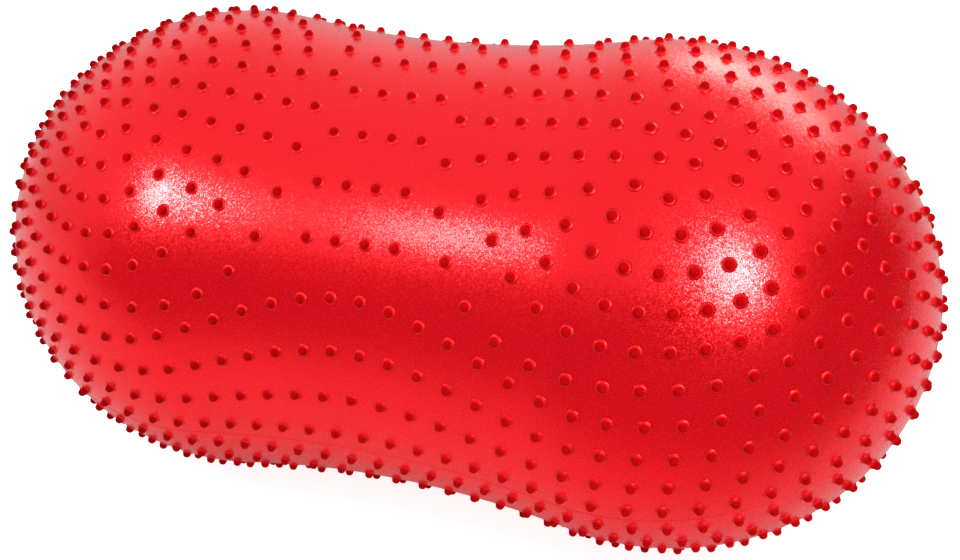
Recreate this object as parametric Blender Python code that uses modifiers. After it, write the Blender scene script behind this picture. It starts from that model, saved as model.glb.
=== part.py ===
"""Peanut ball for exercise and therapy, 45 cm across its lobes and 90 cm long.

An inflated PVC skin with two round lobes and a shallow waist. Massage nubs are
moulded in one with the skin. They lie in rings round a pole on each lobe, one
pole to a mould half, and the outer rings run on as rows along the waist. At one
end sits a valve: a moulded insert with a tapered bore, and the plug that closes
it. The plug pulls straight out along the ball's long axis.

Units are metres, +X is the long axis, +Z is up and the ball stands on Z = 0.
"""

import math

import bmesh
import bpy
import numpy as np
from mathutils import Matrix

# Outline of the inflated skin, without its nubs
LOBE_RADIUS = 0.225
LOBE_OFFSET = 0.208  # lobe centre from the middle of the ball
END_BULGE = 0.017  # how much further than a round lobe the ends reach, from the pressure
WAIST_DEPTH = 0.0165  # how far the waist lies in from the lobes
SKIN_WALL = 0.0015

# Massage nubs
NUB_HEIGHT = 0.0065
NUB_FOOT = 0.0078  # centre of a nub's foot to its corners
RINGS = 11  # rings round each pole, up to the parting line
CLOSED_RING_NUBS = (6, 12, 18, 24, 30, 34, 36)  # nubs in each ring that closes round its pole
NUB_SPACING = 0.0285  # along the rings that run on through the waist
POLE_LEAN = math.radians(12.7)  # pole's lean outwards from the lobe's middle
FIRST_SIDE_PITCH = math.radians(7.2)  # first ring's angle from its pole, sideways
RING_SQUARENESS = 2.7  # the last closed ring flattens towards the waist, 2 is round
WAIST_COLUMNS = 4  # nubs across the waist, between the last closed rings
WAIST_ROWS = 7  # rows from the pull line down to the parting line
WAIST_SPREAD = 0.07  # how much wider nubs stand towards the waist, for each ring number
MOULD_TURN = math.radians(35.7)  # the mould's pull direction, turned about X from straight up

# How the ball stands: the nubs under it are pressed flat
PRESSED_DEPTH = 0.0020

# Plug
HEAD_REACH = 0.0036  # head's edge outside the bore's mouth
HEAD_THICKNESS = 0.0020
HEAD_BEVEL = 0.0005
TIP_LENGTH = 0.0030  # the tip that looks out of the tube
TIP_TAPER = 0.0013  # how much the tip narrows
GRIP_RADIUS = 0.0040  # dimple in the head, for the puller
GRIP_DEPTH = 0.0007

# Valve insert, on the long axis at the -X end
BORE_RADIUS = 0.0036  # at its mouth
BORE_TAPER = 0.0007  # how much narrower it is at its inner end
TUBE_WALL = 0.0026
NECK_WALL = 0.0020
FLANGE_REACH = 0.0055  # flange's edge outside the neck
FLANGE_THICKNESS = 0.0025
FLANGE_FILLET = 0.0026
INSERT_DEPTH = 0.0240  # ball's end to the inner end of the tube

# Pad, where the skin is thicker round the insert's neck
PAD_THICKNESS = 0.0040
PAD_MARGIN = 0.0040  # pad's edge outside the flange

# Fits
SEAT_GAP = 0.0003
PLUG_CLEARANCE = 0.00025

# Fineness of the solids
TURN_STEPS = 32
CORE_STEPS = 36
CORE_RINGS = 20
LAND_POINTS = 16
LINE_STEPS = 240  # points along a ring's line before its nubs are set out
CUTTER_SPARE = 0.020  # how far a cutter reaches past what it cuts
SHARP_ANGLE = math.radians(25)

# Values worked out from those above
CAP_LENGTH = LOBE_RADIUS + END_BULGE
CAP_STRETCH = CAP_LENGTH / LOBE_RADIUS
HALF_LENGTH = LOBE_OFFSET + CAP_LENGTH
WAIST_RADIUS = LOBE_RADIUS - WAIST_DEPTH
WAIST_ARC = (LOBE_OFFSET**2 + WAIST_RADIUS**2 - LOBE_RADIUS**2) / (2 * WAIST_DEPTH)
WAIST_END = LOBE_OFFSET * WAIST_ARC / (LOBE_RADIUS + WAIST_ARC)
AXIS_HEIGHT = LOBE_RADIUS + NUB_HEIGHT - PRESSED_DEPTH
CLOSED_RINGS = len(CLOSED_RING_NUBS)
HEAD_RADIUS = BORE_RADIUS + HEAD_REACH
HEAD_FIT = HEAD_RADIUS + SEAT_GAP
RECESS = HEAD_THICKNESS + SEAT_GAP
NECK_RADIUS = HEAD_FIT + NECK_WALL
NECK_FIT = NECK_RADIUS + SEAT_GAP
FLANGE_RADIUS = NECK_RADIUS + FLANGE_REACH
TUBE_RADIUS = BORE_RADIUS + TUBE_WALL
PAD_RADIUS = FLANGE_RADIUS + PAD_MARGIN
VALVE_FACE = -(NECK_RADIUS**2) * CAP_LENGTH / (2 * LOBE_RADIUS**2)  # flush with the skin round it


def skin_radius(x, length=CAP_LENGTH, lobe=LOBE_RADIUS, waist=WAIST_RADIUS):
    """Radius of the outline at x: two lobes, joined by an arc that both of them touch."""
    arc = (LOBE_OFFSET**2 + waist**2 - lobe**2) / (2 * (lobe - waist))
    arc_end = LOBE_OFFSET * arc / (lobe + arc)
    away = np.abs(x)
    on_waist = waist + arc - np.sqrt(arc**2 - np.minimum(away, arc_end) ** 2)
    stretch = np.where(away > LOBE_OFFSET, length / lobe, 1.0)
    on_lobe = np.sqrt(np.maximum(lobe**2 - ((away - LOBE_OFFSET) / stretch) ** 2, 0.0))
    return np.where(away < arc_end, on_waist, on_lobe)


def skin_slope(x):
    """How fast the outline's radius grows with x."""
    away = np.abs(x)
    waist_x = np.minimum(away, WAIST_END)
    on_waist = waist_x / np.sqrt(WAIST_ARC**2 - waist_x**2)
    stretch = np.where(away > LOBE_OFFSET, CAP_STRETCH, 1.0)
    on_lobe = -(away - LOBE_OFFSET) / stretch**2 / np.maximum(skin_radius(x), 1e-6)
    return np.sign(x) * np.where(away < WAIST_END, on_waist, on_lobe)


def skin_point(x, turn):
    """Point of the skin at x, turned about the long axis from the mould's pull direction."""
    radius = skin_radius(x)
    return np.stack([x, radius * np.sin(turn), radius * np.cos(turn)], axis=-1)


def skin_normal(points):
    slope = skin_slope(points[:, 0])
    turn = np.arctan2(points[:, 1], points[:, 2])
    normal = np.stack([-slope, np.sin(turn), np.cos(turn)], axis=-1)
    return normal / np.linalg.norm(normal, axis=1, keepdims=True)


def drop_on_skin(points):
    """Points near the skin moved onto it: from the lobe's centre at the ends, else from the axis."""
    centre = np.zeros_like(points)
    centre[:, 0] = np.sign(points[:, 0]) * LOBE_OFFSET
    arm = points - centre
    reach = np.sqrt((arm[:, 0] / CAP_LENGTH) ** 2 + (arm[:, 1] ** 2 + arm[:, 2] ** 2) / LOBE_RADIUS**2)
    on_cap = centre + arm / reach[:, None]
    on_side = skin_point(points[:, 0], np.arctan2(points[:, 1], points[:, 2]))
    return np.where(np.abs(points[:, :1]) > LOBE_OFFSET, on_cap, on_side)


def side_angle(ring):
    """A ring's angle from its pole, sideways. Ring 11.5 would lie on the parting line."""
    growth = (math.pi / 2 - FIRST_SIDE_PITCH * (RINGS + 0.5)) / (RINGS + 0.5) ** 2
    return FIRST_SIDE_PITCH * ring + growth * ring**2


def outer_half(ring, azimuth):
    """Points of a ring on the +X lobe. Azimuth 0 looks to the ball's end, 90 degrees sideways."""
    parting = np.arctan2(1 / math.tan(POLE_LEAN), np.cos(azimuth))
    outward_share = ring / (RINGS + 0.5)
    side_share = side_angle(ring) / (math.pi / 2)
    blend = np.sin(azimuth) ** 2
    angle = parting * (outward_share * (1 - blend) + side_share * blend)
    along = np.sin(angle) * np.cos(azimuth)
    across = np.sin(angle) * np.sin(azimuth)
    up = np.cos(angle)
    lean_along = along * math.cos(POLE_LEAN) + up * math.sin(POLE_LEAN)
    lean_up = up * math.cos(POLE_LEAN) - along * math.sin(POLE_LEAN)
    arm = np.stack([lean_along, across, lean_up], axis=-1)
    return drop_on_skin(LOBE_RADIUS * arm + [LOBE_OFFSET, 0, 0])


def pole_x():
    return outer_half(0, np.zeros(1))[0, 0]


def waist_pitch():
    """Between rings, from a pole towards the waist, and between the waist's columns."""
    return pole_x() / (CLOSED_RINGS + 0.5 + WAIST_COLUMNS / 2)


def ring_side(ring):
    """x, and turn about the long axis, of the place where a ring passes sideways of its pole."""
    point = outer_half(ring, np.array([math.pi / 2]))[0]
    return point[0], math.atan2(point[1], point[2])


def even_places(points, spread, count, ends):
    """Points at even steps along a line of points, wider where spread is more than 1."""
    steps = np.linalg.norm(np.diff(points, axis=0), axis=1) / (0.5 * (spread[1:] + spread[:-1]))
    length = np.concatenate([[0.0], np.cumsum(steps)])
    wanted = np.linspace(0.0, length[-1], count + 1)
    if not ends:
        wanted = wanted[:-1]
    return np.stack([np.interp(wanted, length, points[:, axis]) for axis in range(3)], axis=-1)


def closed_ring(ring, count):
    """A ring round the pole. Its inner half is an ellipse in x and turn, squarer on the last ring."""
    outwards = np.linspace(0.0, math.pi / 2, LINE_STEPS)
    outer = outer_half(ring, outwards)
    side_x, side_turn = ring_side(ring)
    inner_x = pole_x() - waist_pitch() * ring
    power = RING_SQUARENESS if ring == CLOSED_RINGS else 2.0
    tip = outwards[-2::-1]
    x = side_x - (side_x - inner_x) * np.cos(tip) ** (2 / power)
    inner = skin_point(x, side_turn * np.sin(tip) ** (2 / power))
    half = np.concatenate([outer, inner])
    half_spread = np.concatenate([np.ones(len(outer)), 1 + WAIST_SPREAD * ring * np.cos(tip)])
    mirrored = half[-2::-1] * [1, -1, 1]
    loop = np.concatenate([half, mirrored])
    loop_spread = np.concatenate([half_spread, half_spread[-2::-1]])
    return even_places(loop, loop_spread, count, ends=False)


def open_ring(ring):
    """A ring that runs round both lobes, with a straight row on each side of the waist."""
    azimuth = np.linspace(-math.pi / 2, math.pi / 2, LINE_STEPS)
    lobe = outer_half(ring, azimuth)
    length = np.linalg.norm(np.diff(lobe, axis=0), axis=1).sum()
    lobe = even_places(lobe, np.ones(len(lobe)), round(length / NUB_SPACING), ends=True)
    side_x, side_turn = ring_side(ring)
    row_turn = (WAIST_ROWS - 0.5 - (RINGS - ring)) * math.pi / 2 / WAIST_ROWS
    x = np.linspace(-side_x, side_x, round(2 * side_x / waist_pitch()) + 1)[1:-1]
    ease = (x / side_x) ** 2 * (3 - 2 * np.abs(x / side_x))
    row = skin_point(x, row_turn + (side_turn - row_turn) * ease)
    return np.concatenate([lobe, lobe * [-1, 1, 1], row, row * [1, -1, 1]])


def waist_columns():
    """The straight columns round the waist, between the last closed rings."""
    rows = WAIST_ROWS - (RINGS - CLOSED_RINGS)
    turns = (np.arange(rows) + 0.5) * math.pi / 2 / WAIST_ROWS
    turns = np.concatenate([-turns, turns])
    x = (np.arange(WAIST_COLUMNS) - (WAIST_COLUMNS - 1) / 2) * waist_pitch()
    grid_x, grid_turn = np.meshgrid(x, turns)
    return skin_point(grid_x.ravel(), grid_turn.ravel())


def nub_places():
    """Foot centres of all the nubs, in the mould's frame, with +Z as the pull direction."""
    right = [outer_half(0, np.zeros(1))]
    for index, count in enumerate(CLOSED_RING_NUBS):
        right.append(closed_ring(index + 1, count))
    right = np.concatenate(right)
    half = [right, right * [-1, 1, 1], waist_columns()]
    for ring in range(CLOSED_RINGS + 1, RINGS + 1):
        half.append(open_ring(ring))
    half = np.concatenate(half)
    both = drop_on_skin(np.concatenate([half, half * [1, 1, -1]]))
    from_axis = np.hypot(both[:, 1], both[:, 2])
    over_valve = (both[:, 0] < -LOBE_OFFSET) & (from_axis < FLANGE_RADIUS + NUB_FOOT)
    return both[~over_valve]


def foot_corners(centres):
    """Three corners on the skin round each nub's centre."""
    normal = skin_normal(centres)
    side = np.cross(normal, [1.0, 0.0, 0.0])
    side /= np.linalg.norm(side, axis=1, keepdims=True)
    along = np.cross(side, normal)
    corners = []
    for corner in range(3):
        turn = 2 * math.pi * corner / 3
        offset = math.cos(turn) * along + math.sin(turn) * side
        corners.append(drop_on_skin(centres + NUB_FOOT * offset))
    return np.stack(corners, axis=1).reshape(-1, 3)


def land_circle():
    """Points on the skin over the flange's edge, so that the skin is true to shape there."""
    turn = np.linspace(0.0, 2 * math.pi, LAND_POINTS, endpoint=False)
    x = np.full(LAND_POINTS, -HALF_LENGTH)
    y = FLANGE_RADIUS * np.cos(turn)
    z = FLANGE_RADIUS * np.sin(turn)
    return drop_on_skin(np.stack([x, y, z], axis=-1))


def on_unit_ball(points):
    """The skin's points on a ball of radius 1, with latitude by distance along the outline."""
    t = np.linspace(-math.pi / 2, math.pi / 2, 8 * LINE_STEPS + 1)
    x = HALF_LENGTH * np.sin(t)
    steps = np.hypot(np.diff(x), np.diff(skin_radius(x)))
    length = np.concatenate([[0.0], np.cumsum(steps)])
    latitude = math.pi * (np.interp(points[:, 0], x, length) / length[-1] - 0.5)
    turn = np.arctan2(points[:, 1], points[:, 2])
    across = np.cos(latitude)
    return np.stack([np.sin(latitude), across * np.sin(turn), across * np.cos(turn)], axis=-1)


def collection_named(name):
    made = bpy.data.collections.new(name)
    bpy.context.scene.collection.children.link(made)
    return made


def material_named(name, colour, roughness):
    material = bpy.data.materials.new(name)
    material.use_nodes = True
    shader = material.node_tree.nodes["Principled BSDF"]
    shader.inputs["Base Color"].default_value = (*colour, 1.0)
    shader.inputs["Roughness"].default_value = roughness
    shader.inputs["Metallic"].default_value = 0.0
    return material


def object_from(bm, name, collection, material=None):
    mesh = bpy.data.meshes.new(name)
    bm.to_mesh(mesh)
    bm.free()
    made = bpy.data.objects.new(name, mesh)
    collection.objects.link(made)
    if material:
        mesh.materials.append(material)
    return made


def shade(mesh):
    mesh.shade_smooth()
    mesh.set_sharp_from_angle(angle=SHARP_ANGLE)


def as_cutter(made):
    made.hide_render = True
    made.display_type = "WIRE"


def cut(target, cutter):
    modifier = target.modifiers.new("Cut " + cutter.name, "BOOLEAN")
    modifier.operation = "DIFFERENCE"
    modifier.solver = "EXACT"
    modifier.object = cutter


def turned(name, profile, steps, collection, material=None, ring=False):
    """A profile of (radius, height) points turned about Z. It runs down the outer side."""
    bm = bmesh.new()
    corners = [bm.verts.new((radius, 0.0, height)) for radius, height in profile]
    for first, second in zip(corners, corners[1:]):
        bm.edges.new((first, second))
    if ring:
        bm.edges.new((corners[-1], corners[0]))
    made = object_from(bm, name, collection, material)
    screw = made.modifiers.new("Turn", "SCREW")
    screw.axis = "Z"
    screw.steps = steps
    screw.render_steps = steps
    screw.use_merge_vertices = True
    screw.merge_threshold = 0.00001
    return made


def turned_part(name, profile, collection, material, ring=False):
    """A turned piece as a plain mesh, smooth but for its corners."""
    made = turned(name, profile, TURN_STEPS, collection, material, ring)
    graph = bpy.context.evaluated_depsgraph_get()
    mesh = bpy.data.meshes.new_from_object(made.evaluated_get(graph))
    made.modifiers.clear()
    made.data = mesh
    shade(mesh)
    return made


def lay_on_axis(made, x):
    """Turns an object's +Z to -X and sets it on the ball's long axis."""
    made.location = (x, 0.0, AXIS_HEIGHT)
    made.rotation_euler = (0.0, -math.pi / 2, 0.0)


def skin_body(collection, material):
    """The outer skin: a net over the nubs' feet, with each foot raised to its nub's tip."""
    feet = foot_corners(nub_places())
    points = np.concatenate([feet, land_circle()])
    bm = bmesh.new()
    nub_of = bm.verts.layers.int.new("nub")
    for index, place in enumerate(on_unit_ball(points)):
        vertex = bm.verts.new(place)
        vertex[nub_of] = index // 3 if index < len(feet) else -1 - index
    bmesh.ops.convex_hull(bm, input=bm.verts[:])
    for vertex, place in zip(bm.verts, points):
        vertex.co = place
    raised = []
    for face in bm.faces:
        owners = {vertex[nub_of] for vertex in face.verts}
        if len(owners) == 1:
            raised.append(face)
    bmesh.ops.recalc_face_normals(bm, faces=bm.faces[:])
    bmesh.ops.poke(bm, faces=raised, offset=NUB_HEIGHT)
    to_world = Matrix.Rotation(MOULD_TURN, 3, "X")
    bmesh.ops.rotate(bm, verts=bm.verts[:], cent=(0.0, 0.0, 0.0), matrix=to_world)
    made = object_from(bm, "skin", collection, material)
    made.location.z = AXIS_HEIGHT
    shade(made.data)
    return made


def core_profile():
    """Inside of the skin as (radius, height), from the pad round the valve to the other end."""
    lobe = LOBE_RADIUS - SKIN_WALL
    waist = WAIST_RADIUS - SKIN_WALL
    cap = CAP_LENGTH - SKIN_WALL
    pad_height = HALF_LENGTH - PAD_THICKNESS
    pad_foot = PAD_RADIUS + PAD_THICKNESS
    profile = [(0.0, pad_height), (PAD_RADIUS, pad_height)]
    profile.append((pad_foot, LOBE_OFFSET + cap * math.sqrt(1 - (pad_foot / lobe) ** 2)))
    for t in np.linspace(math.pi / 2, -math.pi / 2, CORE_RINGS + 1):
        height = (LOBE_OFFSET + cap) * math.sin(t)
        radius = float(skin_radius(height, cap, lobe, waist))
        if height < 0 or radius > pad_foot:
            profile.append((radius, height))
    return profile


def build_skin(parts, cutters, material):
    skin = skin_body(parts, material)
    core = turned("skin_core", core_profile(), CORE_STEPS, cutters)
    lay_on_axis(core, 0.0)
    bm = bmesh.new()
    bmesh.ops.create_cone(
        bm,
        cap_ends=True,
        segments=TURN_STEPS,
        radius1=NECK_FIT,
        radius2=NECK_FIT,
        depth=2 * (PAD_THICKNESS + CUTTER_SPARE),
    )
    hole = object_from(bm, "valve_hole", cutters)
    lay_on_axis(hole, -HALF_LENGTH)
    bm = bmesh.new()
    bmesh.ops.create_cube(bm, size=1.0)
    floor = object_from(bm, "floor", cutters)
    depth = PRESSED_DEPTH + CUTTER_SPARE
    floor.scale = (2 * (HALF_LENGTH + CUTTER_SPARE), 2 * (LOBE_RADIUS + CUTTER_SPARE), depth)
    floor.location.z = -depth / 2
    for cutter in (core, hole, floor):
        as_cutter(cutter)
        cut(skin, cutter)


def build_insert(parts, material):
    """Neck in the skin's hole, flange behind its pad, and a tube with a tapered bore."""
    flange_top = -(PAD_THICKNESS + SEAT_GAP)
    tube_top = flange_top - FLANGE_THICKNESS
    profile = [
        (HEAD_FIT, VALVE_FACE),
        (NECK_RADIUS, VALVE_FACE),
        (NECK_RADIUS, flange_top),
        (FLANGE_RADIUS, flange_top),
        (FLANGE_RADIUS, tube_top),
        (TUBE_RADIUS + FLANGE_FILLET, tube_top),
        (TUBE_RADIUS, tube_top - FLANGE_FILLET),
        (TUBE_RADIUS, -INSERT_DEPTH),
        (BORE_RADIUS - BORE_TAPER, -INSERT_DEPTH),
        (BORE_RADIUS, VALVE_FACE - RECESS),
        (HEAD_FIT, VALVE_FACE - RECESS),
    ]
    insert = turned_part("valve_insert", profile, parts, material, ring=True)
    lay_on_axis(insert, -HALF_LENGTH)


def build_plug(parts, material):
    """Flat head in the insert's recess, and a stem that follows the bore, with a tip."""
    stem_radius = BORE_RADIUS - PLUG_CLEARANCE
    tip_radius = stem_radius - BORE_TAPER
    profile = [
        (0.0, VALVE_FACE - GRIP_DEPTH),
        (GRIP_RADIUS - GRIP_DEPTH, VALVE_FACE - GRIP_DEPTH),
        (GRIP_RADIUS, VALVE_FACE),
        (HEAD_RADIUS - HEAD_BEVEL, VALVE_FACE),
        (HEAD_RADIUS, VALVE_FACE - HEAD_BEVEL),
        (HEAD_RADIUS, VALVE_FACE - HEAD_THICKNESS),
        (stem_radius, VALVE_FACE - HEAD_THICKNESS),
        (tip_radius, -INSERT_DEPTH),
        (tip_radius - TIP_TAPER, -INSERT_DEPTH - TIP_LENGTH),
        (0.0, -INSERT_DEPTH - TIP_LENGTH),
    ]
    plug = turned_part("valve_plug", profile, parts, material)
    lay_on_axis(plug, -HALF_LENGTH)


def main():
    for old in list(bpy.data.objects):
        bpy.data.objects.remove(old, do_unlink=True)
    parts = collection_named("Peanut ball")
    cutters = collection_named("Cutters")
    skin_red = material_named("Red PVC skin", (0.78, 0.010, 0.028), 0.42)
    insert_red = material_named("Red PVC insert", (0.60, 0.008, 0.020), 0.45)
    plug_white = material_named("White plug", (0.85, 0.84, 0.80), 0.40)
    build_skin(parts, cutters, skin_red)
    build_insert(parts, insert_red)
    build_plug(parts, plug_white)


main()
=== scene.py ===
"""Peanut ball: the visual model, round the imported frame.

Laid out as a Blender add-on and run as a script. Every piece is a surface worked out
with numpy in the frame's own metres, with its place in its mesh.
"""

import math

import bpy
import numpy as np
from bpy.props import FloatProperty, FloatVectorProperty, PointerProperty
from bpy.types import Operator, Panel, PropertyGroup
from mathutils import Matrix, Vector


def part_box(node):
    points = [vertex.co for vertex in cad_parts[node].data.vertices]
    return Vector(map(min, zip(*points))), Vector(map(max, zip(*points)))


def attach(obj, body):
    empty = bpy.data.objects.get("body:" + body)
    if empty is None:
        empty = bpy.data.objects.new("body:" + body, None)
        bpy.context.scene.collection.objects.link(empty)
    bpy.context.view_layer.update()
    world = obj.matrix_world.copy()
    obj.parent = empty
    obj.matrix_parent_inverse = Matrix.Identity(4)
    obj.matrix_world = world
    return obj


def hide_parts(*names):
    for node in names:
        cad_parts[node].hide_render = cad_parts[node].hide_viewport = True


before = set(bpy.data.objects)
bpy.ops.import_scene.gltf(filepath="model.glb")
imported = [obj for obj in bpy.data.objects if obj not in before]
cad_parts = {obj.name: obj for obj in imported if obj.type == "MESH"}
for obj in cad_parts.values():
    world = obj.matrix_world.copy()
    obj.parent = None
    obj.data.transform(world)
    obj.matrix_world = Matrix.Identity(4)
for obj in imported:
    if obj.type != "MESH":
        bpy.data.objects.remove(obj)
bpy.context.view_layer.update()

bl_info = {
    "name": "Peanut ball",
    "version": (1, 0, 0),
    "blender": (4, 5, 0),
    "location": "3D View > Sidebar > Peanut ball",
    "description": "Builds a nubbed peanut ball with its valve, and a plain stage",
    "category": "Object",
}

PLUG_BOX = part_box("valve_plug")

# Layout of the massage nubs, as in the part's source
RINGS = 11  # rings round each pole, up to the parting line
CLOSED_RING_NUBS = (6, 12, 18, 24, 30, 34, 36)
CLOSED_RINGS = len(CLOSED_RING_NUBS)
NUB_SPACING = 0.0285  # along the open rings
POLE_LEAN = math.radians(12.7)
FIRST_SIDE_PITCH = math.radians(7.2)
RING_SQUARENESS = 2.7
WAIST_COLUMNS = 4
WAIST_ROWS = 7
WAIST_SPREAD = 0.07  # how much wider a ring's nubs stand at the waist, for each ring
MOULD_TURN = math.radians(35.7)  # of the pull direction, from straight up
LINE_STEPS = 240  # points of a line that nubs are spaced on

# The mould's seam: (width, height) of its section, from the skin's surface
SEAM_SECTION = (
    (-0.00050, -0.00030),
    (-0.00022, 0.00018),
    (0.00022, 0.00018),
    (0.00050, -0.00030),
)
SEAM_THICKNESS = 0.30  # its looks, between the skin's, 0, and a nub's, 1
SEAM_END = 0.0150  # how far from the axis it ends at the valve

# Valve, as in the part's source
NECK_RADIUS = 0.0095
NECK_FIT = 0.0098
FLANGE_RADIUS = 0.0150
FLANGE_THICKNESS = 0.0025
FLANGE_FILLET = 0.0026
PAD_RADIUS = 0.0190
PAD_THICKNESS = 0.0040
SEAT_GAP = 0.0003
TUBE_RADIUS = 0.0062
BORE_RADIUS = 0.0036
BORE_TAPER = 0.0007
INSERT_DEPTH = 0.0240
HEAD_RADIUS = 0.0072
HEAD_FIT = 0.0075
HEAD_THICKNESS = 0.0020
GRIP_RADIUS = 0.0040
GRIP_DEPTH = 0.0007
PLUG_CLEARANCE = 0.00025
TIP_LENGTH = 0.0030
TIP_TAPER = 0.0013

# Only in this model: the valve's rounded edges, and the bare circle round the valve
EDGE_ROUNDING = 0.00035
NUB_CLEAR_OF_VALVE = 0.0228

# Fineness of the surfaces
SKIN_STEPS = 144
OUTER_RINGS = 104
INNER_RINGS = 24
NUB_STEPS = 10
VALVE_STEPS = 96
ROUNDING_STEPS = 4
SEAM_STEPS = 90

# Vinyl of the skin. A nub is matt and more metallic, which stands in for its thick vinyl
SKIN_SPECULAR = 0.36
SKIN_METALLIC = 0.42
NUB_METALLIC = 0.88
NUB_ROUGHNESS = 1.0
SKIN_TONES = (0.94, 1.05)  # darkest and lightest of the mottle
SKIN_MOTTLE_SCALE = 14.0
SPECK_RANGE = (0.55, 0.75)  # of a cell's random value, where it turns from smooth to rough
SPECK_ROUGHER = 0.08

# Moulded plastic. A piece's own is its roughness, its grains in a metre and the grain's depth
INSERT_VINYL = (0.45, 1500.0, 0.00003)
PLUG_PLASTIC = (0.40, 2200.0, 0.00002)
MOULDED_TILT = 0.05
MOULDED_TONES = (0.92, 1.04)
MOULDED_MOTTLE_SCALE = 120.0
MOULDED_ROUGHNESS_SPREAD = 0.05

# Directions from the ball: to the studio's dark side, across that side's tilted upper edge, and
# over the floor towards the dark front
TO_DARK_SIDE = (0.700, -0.714, 0.0)
DARK_EDGE_UP = (-0.189, -0.069, 0.980)
TO_DARK_FLOOR = (0.42, -0.907, 0.0)

# The dark side in the surroundings: where its edges start and end, as parts of a unit vector
DARK_SIDE_EDGE = (-0.15, 0.1)
DARK_TOP_EDGE = (0.29, 0.44)
DARK_SIDE_MATT_SHARE = 0.72  # of the matt light, where the dark side is
HORIZON_SHARE = 0.65  # of the mirrored light, at the horizon
SKY_RANGE = (0.0, 0.5)  # heights from the horizon's share to the whole

# The floor in the ball's mirror: where it turns dark, in metres from the ball's middle, and how
# bright it is before that
DARK_FLOOR_AHEAD = (0.18, 0.58)
DARK_FLOOR_ASIDE = (0.45, 0.70)
FLOOR_BRIGHTEST = 0.85

# The floor's own glow: to the camera near the ball and far from it, by a smooth step over these
# metres, in the ball's mirror, and for matt surfaces
SHOWN_GLOW = (0.85, 1.0)
SHADOW_RANGE = (0.3, 1.4)
MIRRORED_GLOW = 0.2
MATT_GLOW = 0.84

# Lamps: azimuth and elevation in degrees from the aim, distance, (width, height), the aim from
# the middle of the ball, and how many degrees wide the light spreads
LAMP_COLOUR = (1.0, 0.98, 0.85)
SOFTBOXES = {
    "Left lobe softbox": (-26, 30.5, 0.25, (0.048, 0.085), (-0.180, -0.198, 0.103), 90),
    "Waist softbox": (-38.5, 27, 0.28, (0.042, 0.060), (0.091, -0.188, 0.098), 90),
    "Right softbox": (42, 28, 1.6, (0.39, 0.80), (0.311, -0.180, 0.095), 32),
    "Rear softbox": (158, 43, 1.8, (1.30, 0.50), (0.0, 0.0, 0.0), 180),
}

# Camera, fitted to the photograph: lens and sensor in millimetres, place from the middle of the
# ball in metres, and how far it looks down and is turned, in degrees
LENS_LENGTH = 52.47
SENSOR_WIDTH = 36.0
CAMERA_PLACE = (0.52165, -1.14984, 0.43291)
CAMERA_DOWN = 19.606
CAMERA_TURN = 23.04


class PeanutBallSizes(PropertyGroup):
    """Sizes of the inflated ball and its nubs."""

    lobe_radius: FloatProperty(
        name="Lobe radius",
        description="Radius of the two round lobes, without the nubs",
        default=0.225,
        min=0.1,
        unit="LENGTH",
    )
    lobe_offset: FloatProperty(
        name="Lobe offset",
        description="Each lobe's centre from the middle of the ball",
        default=0.208,
        min=0.05,
        unit="LENGTH",
    )
    end_bulge: FloatProperty(
        name="End bulge",
        description="How much further than a round lobe the ends reach",
        default=0.017,
        min=0.0,
        unit="LENGTH",
    )
    waist_depth: FloatProperty(
        name="Waist depth",
        description="How far the waist lies in from the lobes",
        default=0.0165,
        min=0.002,
        unit="LENGTH",
    )
    wall: FloatProperty(
        name="Wall",
        description="Thickness of the inflated skin",
        default=0.0015,
        min=0.0005,
        unit="LENGTH",
    )
    nub_height: FloatProperty(
        name="Nub height",
        description="Height of a massage nub above the skin",
        default=0.0054,
        min=0.001,
        unit="LENGTH",
    )
    nub_radius: FloatProperty(
        name="Nub radius",
        description="Radius of a massage nub just above its foot",
        default=0.0041,
        min=0.002,
        unit="LENGTH",
    )
    axis_height: FloatProperty(
        name="Axis height",
        description="Height of the long axis above the floor",
        default=(PLUG_BOX[0].z + PLUG_BOX[1].z) / 2,
        unit="LENGTH",
    )


class PeanutBallFinish(PropertyGroup):
    """Colours and grain of the vinyl and of the plug."""

    skin_colour: FloatVectorProperty(
        name="Skin colour",
        description="Colour of the stretched skin",
        subtype="COLOR",
        size=3,
        min=0.0,
        max=1.0,
        default=(0.90, 0.002, 0.011),
    )
    nub_colour: FloatVectorProperty(
        name="Nub colour",
        description="Deeper colour of the thick nubs, which let less light through",
        subtype="COLOR",
        size=3,
        min=0.0,
        max=1.0,
        default=(0.49, 0.0, 0.003),
    )
    insert_colour: FloatVectorProperty(
        name="Insert colour",
        description="Colour of the valve's moulded insert",
        subtype="COLOR",
        size=3,
        min=0.0,
        max=1.0,
        default=(0.50, 0.004, 0.012),
    )
    plug_colour: FloatVectorProperty(
        name="Plug colour",
        description="Colour of the plug's plastic",
        subtype="COLOR",
        size=3,
        min=0.0,
        max=1.0,
        default=(0.62, 0.61, 0.58),
    )
    grain_size: FloatProperty(
        name="Grain size",
        description="Width of one grain of the vinyl's surface",
        default=0.0010,
        min=0.0002,
        unit="LENGTH",
    )
    grain_depth: FloatProperty(
        name="Grain depth",
        description="Depth of the vinyl's grain",
        default=0.00007,
        min=0.0,
        precision=6,
        unit="LENGTH",
    )
    speck_tilt: FloatProperty(
        name="Speck tilt",
        description="How unevenly the grain's small specks face",
        default=0.14,
        min=0.0,
        max=1.0,
        subtype="FACTOR",
    )
    gloss_roughness: FloatProperty(
        name="Gloss roughness",
        description="Roughness of the vinyl's shine",
        default=0.20,
        min=0.0,
        max=1.0,
        subtype="FACTOR",
    )


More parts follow.
